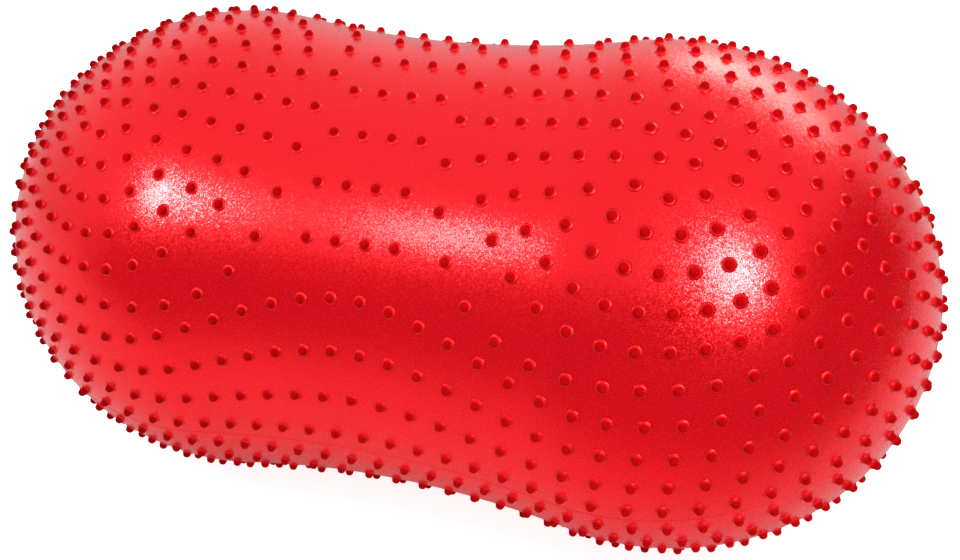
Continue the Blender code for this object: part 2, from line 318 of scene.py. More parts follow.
class PeanutBallStage(PropertyGroup):
    """Floor, lamps and surroundings."""

    floor_size: FloatProperty(
        name="Floor size",
        description="Width of the square floor",
        default=16.0,
        min=2.0,
        unit="LENGTH",
    )
    floor_colour: FloatVectorProperty(
        name="Floor colour",
        description="Colour of the pale floor",
        subtype="COLOR",
        size=3,
        min=0.0,
        max=1.0,
        default=(0.60, 0.60, 0.60),
    )
    left_lobe_box: FloatProperty(
        name="Left lobe softbox",
        description="Power of the small softbox over the left lobe's front",
        default=0.27,
        min=0.0,
        unit="POWER",
    )
    waist_box: FloatProperty(
        name="Waist softbox",
        description="Power of the small softbox over the waist's front",
        default=0.10,
        min=0.0,
        unit="POWER",
    )
    right_box: FloatProperty(
        name="Right softbox",
        description="Power of the softbox in front on the right",
        default=3.1,
        min=0.0,
        unit="POWER",
    )
    rear_box: FloatProperty(
        name="Rear softbox",
        description="Power of the softbox behind on the right",
        default=14.0,
        min=0.0,
        unit="POWER",
    )
    mirrored_light: FloatProperty(
        name="Mirrored light",
        description="Strength of the white surroundings where the ball mirrors them",
        default=1.1,
        min=0.0,
    )
    matt_light: FloatProperty(
        name="Matt light",
        description="Strength of the surroundings for matt surfaces",
        default=1.66,
        min=0.0,
    )


def settings():
    """The sizes, the finish and the stage, as the user has set them."""
    scene = bpy.context.scene
    return scene.peanut_ball_sizes, scene.peanut_ball_finish, scene.peanut_ball_stage


class Outline:
    """The skin's outline: two lobes joined by an arc that touches both, with stretched ends."""

    def __init__(self, sizes, inset=0.0):
        self.offset = sizes.lobe_offset
        self.lobe = sizes.lobe_radius - inset
        self.waist = sizes.lobe_radius - sizes.waist_depth - inset
        self.cap = sizes.lobe_radius + sizes.end_bulge - inset
        drop = self.lobe - self.waist
        self.arc = (self.offset**2 + self.waist**2 - self.lobe**2) / (2 * drop)
        self.arc_end = self.offset * self.arc / (self.lobe + self.arc)
        self.stretch = self.cap / self.lobe
        self.half_length = self.offset + self.cap

    def radius(self, x):
        """Radius at x. The waist is a circle's arc about a centre outside the ball; each lobe
        is a circle about its centre, with x divided by the stretch beyond that centre."""
        away = np.abs(x)
        inner = np.minimum(away, self.arc_end)
        on_waist = self.waist + self.arc - np.sqrt(self.arc**2 - inner**2)
        stretch = np.where(away > self.offset, self.stretch, 1.0)
        on_lobe = np.sqrt(np.maximum(self.lobe**2 - ((away - self.offset) / stretch) ** 2, 0.0))
        return np.where(away < self.arc_end, on_waist, on_lobe)

    def slope(self, x):
        """How fast the radius grows with x: the derivative of the two circles above."""
        away = np.abs(x)
        inner = np.minimum(away, self.arc_end)
        on_waist = inner / np.sqrt(self.arc**2 - inner**2)
        stretch = np.where(away > self.offset, self.stretch, 1.0)
        on_lobe = -(away - self.offset) / stretch**2 / np.maximum(self.radius(x), 1e-6)
        return np.sign(x) * np.where(away < self.arc_end, on_waist, on_lobe)

    def point(self, x, turn):
        """Point at x, turned about the long axis from the mould's pull direction."""
        radius = self.radius(x)
        return np.stack([x, radius * np.sin(turn), radius * np.cos(turn)], axis=-1)

    def normal(self, points):
        """Outward normals: minus the slope along x, and 1 away from the axis, at unit length."""
        turn = np.arctan2(points[:, 1], points[:, 2])
        steep = -self.slope(points[:, 0])
        found = np.stack([steep, np.sin(turn), np.cos(turn)], axis=-1)
        return found / np.linalg.norm(found, axis=1, keepdims=True)

    def drop(self, points):
        """Moves points onto the skin, from the lobe's centre at the ends, else from the axis."""
        centre = np.zeros_like(points)
        centre[:, 0] = np.sign(points[:, 0]) * self.offset
        arm = points - centre
        across = (arm[:, 1] ** 2 + arm[:, 2] ** 2) / self.lobe**2
        reach = np.sqrt((arm[:, 0] / self.cap) ** 2 + across)
        on_cap = centre + arm / reach[:, None]
        on_side = self.point(points[:, 0], np.arctan2(points[:, 1], points[:, 2]))
        return np.where(np.abs(points[:, :1]) > self.offset, on_cap, on_side)


def side_angle(ring):
    """A ring's angle from its pole, sideways. Ring 11.5 would lie on the parting line."""
    growth = (math.pi / 2 - FIRST_SIDE_PITCH * (RINGS + 0.5)) / (RINGS + 0.5) ** 2
    return FIRST_SIDE_PITCH * ring + growth * ring**2


def outer_half(outline, ring, azimuth):
    """Points of a ring on the +X lobe. Azimuth 0 looks to the ball's end, 90 degrees sideways.
    The angle from the pole is blended from an even share of the way to the parting plane,
    lengthways, to the side angle, sideways, by the squared sine of the azimuth."""
    parting = np.arctan2(1 / math.tan(POLE_LEAN), np.cos(azimuth))
    blend = np.sin(azimuth) ** 2
    outward = ring / (RINGS + 0.5)
    sideways = side_angle(ring) / (math.pi / 2)
    angle = parting * (outward * (1 - blend) + sideways * blend)
    along = np.sin(angle) * np.cos(azimuth)
    across = np.sin(angle) * np.sin(azimuth)
    up = np.cos(angle)
    lean_along = along * math.cos(POLE_LEAN) + up * math.sin(POLE_LEAN)
    lean_up = up * math.cos(POLE_LEAN) - along * math.sin(POLE_LEAN)
    arm = np.stack([lean_along, across, lean_up], axis=-1)
    return outline.drop(outline.lobe * arm + [outline.offset, 0, 0])


def pole_x(outline):
    """x of the +X lobe's pole, which leans out from over the lobe's centre."""
    return outer_half(outline, 0, np.zeros(1))[0, 0]


def waist_pitch(outline):
    """Between rings, from a pole towards the waist, and between the waist's columns."""
    return pole_x(outline) / (CLOSED_RINGS + 0.5 + WAIST_COLUMNS / 2)


def ring_side(outline, ring):
    """x, and turn about the long axis, of the place where a ring passes sideways of its pole."""
    point = outer_half(outline, ring, np.array([math.pi / 2]))[0]
    return point[0], math.atan2(point[1], point[2])


def even_places(points, spread, count, ends):
    """Points at even steps along a line of points, wider where spread is more than 1."""
    steps = np.linalg.norm(np.diff(points, axis=0), axis=1) / (0.5 * (spread[1:] + spread[:-1]))
    length = np.concatenate([[0.0], np.cumsum(steps)])
    wanted = np.linspace(0.0, length[-1], count + 1)
    if not ends:
        wanted = wanted[:-1]
    return np.stack([np.interp(wanted, length, points[:, axis]) for axis in range(3)], axis=-1)


def closed_ring(outline, ring, count):
    """A ring round the pole. Its inner half is an ellipse in x and turn, squarer on the last."""
    outwards = np.linspace(0.0, math.pi / 2, LINE_STEPS)
    outer = outer_half(outline, ring, outwards)
    side_x, side_turn = ring_side(outline, ring)
    inner_x = pole_x(outline) - waist_pitch(outline) * ring
    power = RING_SQUARENESS if ring == CLOSED_RINGS else 2.0
    tip = outwards[-2::-1]
    x = side_x - (side_x - inner_x) * np.cos(tip) ** (2 / power)
    inner = outline.point(x, side_turn * np.sin(tip) ** (2 / power))
    half = np.concatenate([outer, inner])
    half_spread = np.concatenate([np.ones(len(outer)), 1 + WAIST_SPREAD * ring * np.cos(tip)])
    mirrored = half[-2::-1] * [1, -1, 1]
    loop = np.concatenate([half, mirrored])
    loop_spread = np.concatenate([half_spread, half_spread[-2::-1]])
    return even_places(loop, loop_spread, count, ends=False)


def open_ring(outline, ring):
    """A ring that runs round both lobes, with a straight row on each side of the waist."""
    azimuth = np.linspace(-math.pi / 2, math.pi / 2, LINE_STEPS)
    lobe = outer_half(outline, ring, azimuth)
    length = np.linalg.norm(np.diff(lobe, axis=0), axis=1).sum()
    lobe = even_places(lobe, np.ones(len(lobe)), round(length / NUB_SPACING), ends=True)
    side_x, side_turn = ring_side(outline, ring)
    row_turn = (WAIST_ROWS - 0.5 - (RINGS - ring)) * math.pi / 2 / WAIST_ROWS
    x = np.linspace(-side_x, side_x, round(2 * side_x / waist_pitch(outline)) + 1)[1:-1]
    ease = (x / side_x) ** 2 * (3 - 2 * np.abs(x / side_x))
    row = outline.point(x, row_turn + (side_turn - row_turn) * ease)
    return np.concatenate([lobe, lobe * [-1, 1, 1], row, row * [1, -1, 1]])


def waist_columns(outline):
    """The straight columns round the waist, between the last closed rings."""
    rows = WAIST_ROWS - (RINGS - CLOSED_RINGS)
    turns = (np.arange(rows) + 0.5) * math.pi / 2 / WAIST_ROWS
    turns = np.concatenate([-turns, turns])
    x = (np.arange(WAIST_COLUMNS) - (WAIST_COLUMNS - 1) / 2) * waist_pitch(outline)
    grid_x, grid_turn = np.meshgrid(x, turns)
    return outline.point(grid_x.ravel(), grid_turn.ravel())


def nub_places(outline):
    """Foot centres of all the nubs, in the mould's frame, with +Z as the pull direction."""
    right = [outer_half(outline, 0, np.zeros(1))]
    for index, count in enumerate(CLOSED_RING_NUBS):
        right.append(closed_ring(outline, index + 1, count))
    right = np.concatenate(right)
    half = [right, right * [-1, 1, 1], waist_columns(outline)]
    for ring in range(CLOSED_RINGS + 1, RINGS + 1):
        half.append(open_ring(outline, ring))
    half = np.concatenate(half)
    both = outline.drop(np.concatenate([half, half * [1, 1, -1]]))
    from_axis = np.hypot(both[:, 1], both[:, 2])
    over_valve = (both[:, 0] < -outline.offset) & (from_axis < NUB_CLEAR_OF_VALVE)
    return both[~over_valve]


def from_mould(points, axis_height):
    """Turns points of the mould's frame about X, and raises them to the ball's long axis."""
    turn = Matrix.Rotation(MOULD_TURN, 3, "X")
    return points @ np.array(turn).T + [0.0, 0.0, axis_height]


def rounded(profile, corners, reach):
    """A (x, radius) profile whose named corners become arcs. Each arc is a quadratic curve
    from reach before the corner to reach after it, with the corner as its middle control."""
    profile = np.asarray(profile, float)
    t = np.linspace(0.0, 1.0, ROUNDING_STEPS + 1)[:, None]
    made = []
    for index, corner in enumerate(profile):
        if index not in corners:
            made.append(corner[None])
            continue
        before = profile[index - 1] - corner
        after = profile[(index + 1) % len(profile)] - corner
        start = corner + before * reach / np.linalg.norm(before)
        end = corner + after * reach / np.linalg.norm(after)
        made.append(start * (1 - t) ** 2 + 2 * corner * t * (1 - t) + end * t**2)
    return np.concatenate(made)


def turned(profile, steps, axis_height, ring=False):
    """Points and faces of a (x, radius) profile turned about the long axis.
    Point (i, j) is profile point i at angle 2 pi j / steps. A profile that starts and ends
    on the axis has one point at each pole; a ring's last row joins its first. The faces look
    outwards where the profile's outside runs from +X to -X."""
    x, radius = np.asarray(profile, float).T
    angle = 2 * math.pi * np.arange(steps) / steps
    if not ring:
        poles = x[[0, -1]]
        x, radius = x[1:-1], radius[1:-1]
    y = radius[:, None] * np.cos(angle)
    z = radius[:, None] * np.sin(angle) + axis_height
    points = np.stack([np.broadcast_to(x[:, None], y.shape), y, z], axis=-1).reshape(-1, 3)
    step = np.arange(steps)
    after = (step + 1) % steps
    rows = np.arange(len(x) if ring else len(x) - 1)[:, None]
    below = (rows + 1) % len(x)
    row, next_row = rows * steps, below * steps
    corners = (row + step, next_row + step, next_row + after, row + after)
    faces = np.stack(corners, axis=-1).reshape(-1, 4).tolist()
    if not ring:
        last = (len(x) - 1) * steps
        count = len(points)
        points = np.concatenate([points, [[poles[0], 0, axis_height], [poles[1], 0, axis_height]]])
        faces += np.stack([np.full(steps, count), step, after], axis=-1).tolist()
        faces += np.stack([last + after, last + step, np.full(steps, count + 1)], axis=-1).tolist()
    return points, faces


def even_outline(outline, start_turn, rings):
    """(x, radius) points at even steps along the outline, from the +X pole to a turn of the end."""
    t = np.linspace(math.pi / 2, start_turn, 4 * LINE_STEPS)
    x = outline.half_length * np.sin(t)
    line = np.stack([x, outline.radius(x)], axis=-1)
    length = np.concatenate([[0.0], np.cumsum(np.linalg.norm(np.diff(line, axis=0), axis=1))])
    wanted = np.linspace(0.0, length[-1], rings + 1)
    x = np.interp(wanted, length, x)
    return np.stack([x, outline.radius(x)], axis=-1)


def end_turn(outline, radius):
    """The turn t at which the -X end has this radius, for x = -half length times sin t."""
    away = outline.offset + outline.cap * math.sqrt(1 - (radius / outline.lobe) ** 2)
    return -math.asin(away / outline.half_length)


def skin_profile(sizes):
    """The skin's wall as one line: outside from the +X pole to the valve's hole, down the hole,
    along the pad's foot, and back inside to the +X pole."""
    outer = Outline(sizes)
    inner = Outline(sizes, sizes.wall)
    outside = even_outline(outer, end_turn(outer, NECK_FIT + 2 * EDGE_ROUNDING), OUTER_RINGS)
    pad_x = PAD_THICKNESS - outer.half_length
    pad_foot = PAD_RADIUS + PAD_THICKNESS
    inside = even_outline(inner, end_turn(inner, pad_foot), INNER_RINGS)[::-1]
    rim_x = -outer.offset - outer.cap * math.sqrt(1 - (NECK_FIT / outer.lobe) ** 2)
    hole = [(rim_x, NECK_FIT), (pad_x, NECK_FIT), (pad_x, PAD_RADIUS)]
    line = np.concatenate([outside, hole, inside])
    line[0, 1] = line[-1, 1] = 0.0
    return rounded(line, (len(outside),), EDGE_ROUNDING)


def nub_profile(sizes):
    """(radius, height, thickness) of a nub from under its foot to its tip: a flare, a steep side
    and a dome. Thickness is 0 where the vinyl is as thin as the skin, and 1 in the solid nub."""
    r, h = sizes.nub_radius, sizes.nub_height
    return np.array(
        [
            (1.70 * r, -0.00020, 0.0),
            (1.24 * r, 0.05 * h, 0.20),
            (0.97 * r, 0.22 * h, 0.90),
            (0.89 * r, 0.52 * h, 1.0),
            (0.68 * r, 0.82 * h, 1.0),
            (0.36 * r, 0.96 * h, 1.0),
        ]
    )


def nub_surfaces(sizes, outline, centres):
    """Points and faces of all the nubs: the profile turned about each nub's own normal.
    Point (n, i, j) is centre n plus radius i at angle j in the tangent plane, dropped onto the
    skin, plus height i along the normal. The foot is closed under the skin by one face for each
    nub, the last faces of the list, and the tip is one point."""
    normal = outline.normal(centres)
    side = np.cross(normal, [1.0, 0.0, 0.0])
    side /= np.linalg.norm(side, axis=1, keepdims=True)
    along = np.cross(side, normal)
    radius, height, thick = nub_profile(sizes).T
    angle = 2 * math.pi * np.arange(NUB_STEPS) / NUB_STEPS
    flat = (
        np.cos(angle)[:, None] * along[:, None, None, :]
        + np.sin(angle)[:, None] * side[:, None, None, :]
    )
    at_radius = centres[:, None, None, :] + radius[None, :, None, None] * flat
    lean = outline.drop(at_radius.reshape(-1, 3)).reshape(at_radius.shape)
    rings = lean + height[None, :, None, None] * normal[:, None, None, :]
    tips = centres + sizes.nub_height * normal
    count = len(centres)
    per_nub = len(radius) * NUB_STEPS + 1
    points = np.concatenate([rings.reshape(count, -1, 3), tips[:, None, :]], axis=1)
    step = np.arange(NUB_STEPS)
    after = (step + 1) % NUB_STEPS
    row = np.arange(len(radius) - 1)[:, None] * NUB_STEPS
    above = row + NUB_STEPS
    sides = np.stack([row + step, row + after, above + after, above + step], axis=-1)
    top = (len(radius) - 1) * NUB_STEPS
    dome = np.stack([top + step, top + after, np.full(NUB_STEPS, per_nub - 1)], axis=-1)
    first = np.arange(count)[:, None, None] * per_nub
    faces = (sides.reshape(1, -1, 4) + first).reshape(-1, 4).tolist()
    faces += (dome[None] + first).reshape(-1, 3).tolist()
    faces += (step[None, ::-1] + first[:, 0]).tolist()
    thickness = np.tile(np.append(np.repeat(thick, NUB_STEPS), 1.0), count)
    return points.reshape(-1, 3), faces, thickness


def seam_surfaces(outline):
    """Points and faces of the mould's seam, a low bead in the mould's parting plane, z = 0. Its
    path follows the outline from the valve along -y to the +X pole, and back along +y. Point
    (i, k) is path point i, plus width k along z, plus height k along the path's normal."""
    half = even_outline(outline, end_turn(outline, SEAM_END), SEAM_STEPS)
    x = np.concatenate([half[::-1, 0], half[1:, 0]])
    y = np.concatenate([-half[::-1, 1], half[1:, 1]])
    run = np.stack([np.gradient(x), np.gradient(y)])
    run /= np.linalg.norm(run, axis=0)
    normal = np.stack([run[1], -run[0], np.zeros(len(x))], axis=-1)
    path = np.stack([x, y, np.zeros(len(x))], axis=-1)
    width, height = np.array(SEAM_SECTION).T
    points = path[:, None, :] + height[None, :, None] * normal[:, None, :]
    points[:, :, 2] += width
    row = np.arange(len(x) - 1)[:, None] * len(width)
    beyond = row + len(width)
    k = np.arange(len(width))
    after = (k + 1) % len(width)
    sides = np.stack([row + k, beyond + k, beyond + after, row + after], axis=-1)
    last = (len(x) - 1) * len(width)
    faces = sides.reshape(-1, 4).tolist() + [k.tolist(), (last + k[::-1]).tolist()]
    return points.reshape(-1, 3), faces


def shifted(faces, first):
    """The same faces for points that come after others: first is added to every corner."""
    return [[corner + first for corner in face] for face in faces]


def mesh_piece(name, points, faces, material):
    """An object at the origin with its place in its mesh, smooth and with one material."""
    mesh = bpy.data.meshes.new(name)
    mesh.from_pydata(points.tolist(), [], faces)
    mesh.update()
    mesh.shade_smooth()
    mesh.materials.append(material)
    made = bpy.data.objects.new(name, mesh)
    bpy.context.scene.collection.objects.link(made)
    return made


def point_attribute(mesh, name, values):
    """Gives each point of the mesh a number that a material can read."""
    layer = mesh.attributes.new(name, "FLOAT", "POINT")
    layer.data.foreach_set("value", np.asarray(values, np.float32))


def new_material(name):
    """A material, its node tree and its Principled shader."""
    material = bpy.data.materials.new(name)
    material.use_nodes = True
    tree = material.node_tree
    return material, tree, tree.nodes["Principled BSDF"]


def add_node(tree, kind, at, inputs=None, **values):
    """A node with its own properties set first, and then its unlinked inputs."""
    node = tree.nodes.new(kind)
    node.location = at
    for key, value in values.items():
        setattr(node, key, value)
    for key, value in (inputs or {}).items():
        node.inputs[key].default_value = value
    return node


def range_node(tree, at, first, last, limits=(0.0, 1.0), **values):
    """Goes evenly from first to last as its value goes from one limit to the other."""
    ends = {"From Min": limits[0], "From Max": limits[1], "To Min": first, "To Max": last}
    return add_node(tree, "ShaderNodeMapRange", at, ends, **values)


def smooth_step(tree, at, first, last, limits):
    """The same, by a smooth step: 3 t squared minus 2 t cubed, for t from 0 to 1."""
    return range_node(tree, at, first, last, limits, interpolation_type="SMOOTHSTEP")


def reach_node(tree, at, direction):
    """How far its vector reaches in a direction: the dot product of the two."""
    return add_node(tree, "ShaderNodeVectorMath", at, {1: direction}, operation="DOT_PRODUCT")


def math_node(tree, at, operation, inputs=None):
    """One sum on single numbers, such as a product."""
    return add_node(tree, "ShaderNodeMath", at, inputs, operation=operation)


def grain_group():
    """Fine moulded grain. The surface is split in small cells with random values. Normal is the
    surface's, leant by each cell's own random vector, with the bump of a fine noise on top. Grain
    is each cell's random value from 0 to 1, and Mottle a slow noise from 0 to 1."""
    found = bpy.data.node_groups.get("Moulded grain")
    if found:
        return found
    group = bpy.data.node_groups.new("Moulded grain", "ShaderNodeTree")
    socket = group.interface.new_socket
    for name in ("Grain scale", "Grain depth", "Speck tilt", "Mottle scale"):
        socket(name, in_out="INPUT", socket_type="NodeSocketFloat")
    socket("Normal", in_out="OUTPUT", socket_type="NodeSocketVector")
    socket("Mottle", in_out="OUTPUT", socket_type="NodeSocketFloat")
    socket("Grain", in_out="OUTPUT", socket_type="NodeSocketFloat")
    entry = add_node(group, "NodeGroupInput", (-900, 0))
    leave = add_node(group, "NodeGroupOutput", (500, 0))
    place = add_node(group, "ShaderNodeTexCoord", (-900, -300))
    fine = add_node(group, "ShaderNodeTexNoise", (-500, 100), {"Detail": 0.0})
    cells = add_node(group, "ShaderNodeTexVoronoi", (-500, 400))
    speck = add_node(group, "ShaderNodeSeparateColor", (-200, 400))
    slow = add_node(group, "ShaderNodeTexNoise", (-500, -300), {"Detail": 2.0})
    bump = add_node(group, "ShaderNodeBump", (200, 100), {"Strength": 1.0})
    surface = add_node(group, "ShaderNodeNewGeometry", (-500, 700))
    half = {1: (0.5, 0.5, 0.5)}
    centred = add_node(group, "ShaderNodeVectorMath", (-300, 600), half, operation="SUBTRACT")
    lean = add_node(group, "ShaderNodeVectorMath", (-150, 600), operation="SCALE")
    leant = add_node(group, "ShaderNodeVectorMath", (0, 600), operation="ADD")
    facing = add_node(group, "ShaderNodeVectorMath", (100, 600), operation="NORMALIZE")
    link = group.links.new
    link(cells.outputs["Color"], centred.inputs[0])
    link(centred.outputs["Vector"], lean.inputs[0])
    link(entry.outputs["Speck tilt"], lean.inputs["Scale"])
    link(surface.outputs["Normal"], leant.inputs[0])
    link(lean.outputs["Vector"], leant.inputs[1])
    link(leant.outputs["Vector"], facing.inputs[0])
    link(facing.outputs["Vector"], bump.inputs["Normal"])
    link(place.outputs["Object"], fine.inputs["Vector"])
    link(place.outputs["Object"], slow.inputs["Vector"])
    link(entry.outputs["Grain scale"], fine.inputs["Scale"])
    link(entry.outputs["Mottle scale"], slow.inputs["Scale"])
    link(entry.outputs["Grain depth"], bump.inputs["Distance"])
    link(fine.outputs["Fac"], bump.inputs["Height"])
    link(bump.outputs["Normal"], leave.inputs["Normal"])
    link(slow.outputs["Fac"], leave.inputs["Mottle"])
    link(place.outputs["Object"], cells.inputs["Vector"])
    link(entry.outputs["Grain scale"], cells.inputs["Scale"])
    link(cells.outputs["Color"], speck.inputs["Color"])
    link(speck.outputs["Red"], leave.inputs["Grain"])
    return group


def grain_in(tree, scale, depth, tilt, mottle):
    """The grain's node group, placed in a material with its own values."""
    node = add_node(tree, "ShaderNodeGroup", (-900, -200), node_tree=grain_group())
    node.inputs["Grain scale"].default_value = scale
    node.inputs["Grain depth"].default_value = depth
    node.inputs["Speck tilt"].default_value = tilt
    node.inputs["Mottle scale"].default_value = mottle
    return node


def mottled(tree, grain, tones):
    """Multiplies a colour, in input 6, by the mottle's tones. It comes out of output 2."""
    multiply = {"data_type": "RGBA", "blend_type": "MULTIPLY"}
    shade = add_node(tree, "ShaderNodeMix", (-250, 300), {0: 1.0}, **multiply)
    tone = range_node(tree, (-500, 50), *tones)
    tree.links.new(grain.outputs["Mottle"], tone.inputs["Value"])
    tree.links.new(tone.outputs["Result"], shade.inputs[7])
    return shade


def skin_material(finish):
    """Stretched red vinyl: deeper in the nubs, mottled a little, with a fine speckled grain."""
    material, tree, shader = new_material("Red vinyl skin")
    link = tree.links.new
    shader.inputs["Specular IOR Level"].default_value = SKIN_SPECULAR
    fineness = 1 / finish.grain_size
    grain = grain_in(tree, fineness, finish.grain_depth, finish.speck_tilt, SKIN_MOTTLE_SCALE)
    nub = add_node(tree, "ShaderNodeAttribute", (-900, 200), attribute_name="nub")
    colours = {6: (*finish.skin_colour, 1.0), 7: (*finish.nub_colour, 1.0)}
    colour = add_node(tree, "ShaderNodeMix", (-500, 300), colours, data_type="RGBA")
    shade = mottled(tree, grain, SKIN_TONES)
    smooth = finish.gloss_roughness
    speck = range_node(tree, (-700, -300), smooth, smooth + SPECK_ROUGHER, SPECK_RANGE)
    gloss = range_node(tree, (-500, -200), smooth, NUB_ROUGHNESS)
    metal = range_node(tree, (-500, -450), SKIN_METALLIC, NUB_METALLIC)
    link(nub.outputs["Fac"], colour.inputs[0])
    link(colour.outputs[2], shade.inputs[6])
    link(shade.outputs[2], shader.inputs["Base Color"])
    link(grain.outputs["Grain"], speck.inputs["Value"])
    link(nub.outputs["Fac"], gloss.inputs["Value"])
    link(speck.outputs["Result"], gloss.inputs["To Min"])
    link(gloss.outputs["Result"], shader.inputs["Roughness"])
    link(nub.outputs["Fac"], metal.inputs["Value"])
    link(metal.outputs["Result"], shader.inputs["Metallic"])
    link(grain.outputs["Normal"], shader.inputs["Normal"])
    return material


def moulded_material(name, colour, roughness, grain_scale, grain_depth):
    """Plain moulded plastic or vinyl, with a fine matt grain and slightly uneven tone."""
    material, tree, shader = new_material(name)
    link = tree.links.new
    grain = grain_in(tree, grain_scale, grain_depth, MOULDED_TILT, MOULDED_MOTTLE_SCALE)
    shade = mottled(tree, grain, MOULDED_TONES)
    shade.inputs[6].default_value = (*colour, 1.0)
    smoothest = roughness - MOULDED_ROUGHNESS_SPREAD
    gloss = range_node(tree, (-500, -200), smoothest, roughness + MOULDED_ROUGHNESS_SPREAD)
    link(shade.outputs[2], shader.inputs["Base Color"])
    link(grain.outputs["Mottle"], gloss.inputs["Value"])
    link(gloss.outputs["Result"], shader.inputs["Roughness"])
    link(grain.outputs["Normal"], shader.inputs["Normal"])
    return material


class PEANUTBALL_OT_skin(Operator):
    """Makes the inflated skin with its massage nubs, in place of the plain CAD skin"""

    bl_idname = "peanut_ball.skin"
    bl_label = "Skin with nubs"

    def execute(self, context):
        sizes, finish, _ = settings()
        outline = Outline(sizes)
        shell, shell_faces = turned(skin_profile(sizes), SKIN_STEPS, sizes.axis_height)
        centres = nub_places(outline)
        nubs, nub_faces, thickness = nub_surfaces(sizes, outline, centres)
        nubs = from_mould(nubs, sizes.axis_height)
        nubs[:, 2] = np.maximum(nubs[:, 2], 0.0)
        seam, seam_faces = seam_surfaces(outline)
        seam = from_mould(seam, sizes.axis_height)
        points = np.concatenate([shell, seam, nubs])
        faces = shell_faces + shifted(seam_faces, len(shell))
        faces += shifted(nub_faces, len(shell) + len(seam))
        made = mesh_piece("ball_skin", points, faces, skin_material(finish))
        smooth = np.ones(len(faces), bool)
        smooth[-len(centres) :] = False  # the flat faces under the nubs
        made.data.polygons.foreach_set("use_smooth", smooth)
        thin = [np.zeros(len(shell)), np.full(len(seam), SEAM_THICKNESS)]
        point_attribute(made.data, "nub", np.concatenate([*thin, thickness]))
        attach(made, "ball")
        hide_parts("skin")
        return {"FINISHED"}


class PEANUTBALL_OT_insert(Operator):
    """Makes the valve's insert: neck, recess, flange and tapered tube, with rounded edges"""

    bl_idname = "peanut_ball.insert"
    bl_label = "Valve insert"

    def execute(self, context):
        sizes, finish, _ = settings()
        outline = Outline(sizes)
        end = -outline.half_length
        face = valve_face(outline)
        flange_top = end + PAD_THICKNESS + SEAT_GAP
        tube_top = flange_top + FLANGE_THICKNESS
        seat = face + HEAD_THICKNESS + SEAT_GAP
        tube_end = end + INSERT_DEPTH
        profile = [
            (face, HEAD_FIT),
            (face, NECK_RADIUS),
            (flange_top, NECK_RADIUS),
            (flange_top, FLANGE_RADIUS),
            (tube_top, FLANGE_RADIUS),
            (tube_top, TUBE_RADIUS + FLANGE_FILLET),
            (tube_top + FLANGE_FILLET, TUBE_RADIUS),
            (tube_end, TUBE_RADIUS),
            (tube_end, BORE_RADIUS - BORE_TAPER),
            (seat, BORE_RADIUS),
            (seat, HEAD_FIT),
        ]
        line = rounded(profile, (0, 1, 3, 4, 7, 8, 9), EDGE_ROUNDING)
        points, faces = turned(line[::-1], VALVE_STEPS, sizes.axis_height, ring=True)
        vinyl = moulded_material("Red vinyl insert", finish.insert_colour, *INSERT_VINYL)
        made = mesh_piece("insert_body", points, faces, vinyl)
        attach(made, "ball")
        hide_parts("valve_insert")
        return {"FINISHED"}


class PEANUTBALL_OT_plug(Operator):
    """Makes the plug: flat head with a grip dimple, tapered stem and tip, with rounded edges"""

    bl_idname = "peanut_ball.plug"
    bl_label = "Valve plug"

    def execute(self, context):
        sizes, finish, _ = settings()
        outline = Outline(sizes)
        end = -outline.half_length
        face = valve_face(outline)
        under_head = face + HEAD_THICKNESS
        stem = BORE_RADIUS - PLUG_CLEARANCE
        tip = stem - BORE_TAPER
        tube_end = end + INSERT_DEPTH
        profile = [
            (face + GRIP_DEPTH, 0.0),
            (face + GRIP_DEPTH, GRIP_RADIUS - GRIP_DEPTH),
            (face, GRIP_RADIUS),
            (face, HEAD_RADIUS),
            (under_head, HEAD_RADIUS),
            (under_head, stem),
            (tube_end, tip),
            (tube_end + TIP_LENGTH, tip - TIP_TAPER),
            (tube_end + TIP_LENGTH, 0.0),
        ]
        line = rounded(profile, (1, 2, 3, 4, 7), EDGE_ROUNDING)
        points, faces = turned(line[::-1], VALVE_STEPS, sizes.axis_height)
        plastic = moulded_material("White plug plastic", finish.plug_colour, *PLUG_PLASTIC)
        made = mesh_piece("plug_body", points, faces, plastic)
        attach(made, "plug")
        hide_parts("valve_plug")
        return {"FINISHED"}


def valve_face(outline):
    """x of the valve's outer face: flush with the skin at the neck's edge."""
    sag = NECK_RADIUS**2 * outline.cap / (2 * outline.lobe**2)
    return sag - outline.half_length


def softbox(name, power, axis_height):
    """A lamp for highlights only, in a direction seen from its aim. Azimuth 0 is in front, -Y,
    and turns to +X. The surroundings give the rest of the light."""
    azimuth, elevation, distance, size, (x, y, z), spread = SOFTBOXES[name]
    lamp = bpy.data.lights.new(name, "AREA")
    lamp.shape = "RECTANGLE"
    lamp.size, lamp.size_y = size
    lamp.energy = power
    lamp.spread = math.radians(spread)
    lamp.color = LAMP_COLOUR
    turn, rise = math.radians(azimuth), math.radians(elevation)
    away = Vector(
        (math.sin(turn) * math.cos(rise), -math.cos(turn) * math.cos(rise), math.sin(rise))
    )
    made = bpy.data.objects.new(name, lamp)
    made.visible_diffuse = False
    made.visible_camera = False
    made.location = Vector((x, y, axis_height + z)) + away * distance
    made.rotation_euler = away.to_track_quat("Z", "Y").to_euler()
    bpy.context.scene.collection.objects.link(made)


